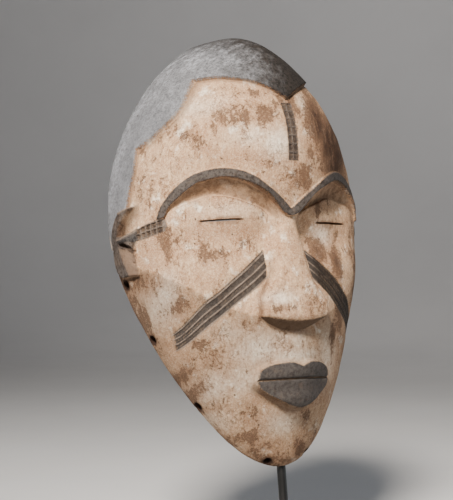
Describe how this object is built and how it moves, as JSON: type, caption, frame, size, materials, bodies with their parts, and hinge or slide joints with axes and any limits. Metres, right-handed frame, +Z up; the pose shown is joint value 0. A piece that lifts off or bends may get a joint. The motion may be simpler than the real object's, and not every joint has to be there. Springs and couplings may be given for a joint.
{
  "type": "carved wooden face mask on a metal stand",
  "caption": "Hollow carved wooden face mask in worn white kaolin and dark pigment, leaning back on a metal rod with a flat foot.",
  "frame": {"origin": "centre of the underside of the stand's foot", "axes": "+Z up, the face looks along -Y, +X to the viewer's right as the face is seen from the front"},
  "size_m": [0.1876, 0.1298, 0.3591],
  "materials": {
    "painted_wood": "white kaolin worn to warm brown wood, grey and black pigment on hair, brows, bands and lips, matt",
    "black_steel": "satin black lacquer on steel"
  },
  "bodies": {
    "root": {"mask": "painted_wood", "stand_rod": "black_steel", "stand_foot": "black_steel"}
  },
  "joints": []
}
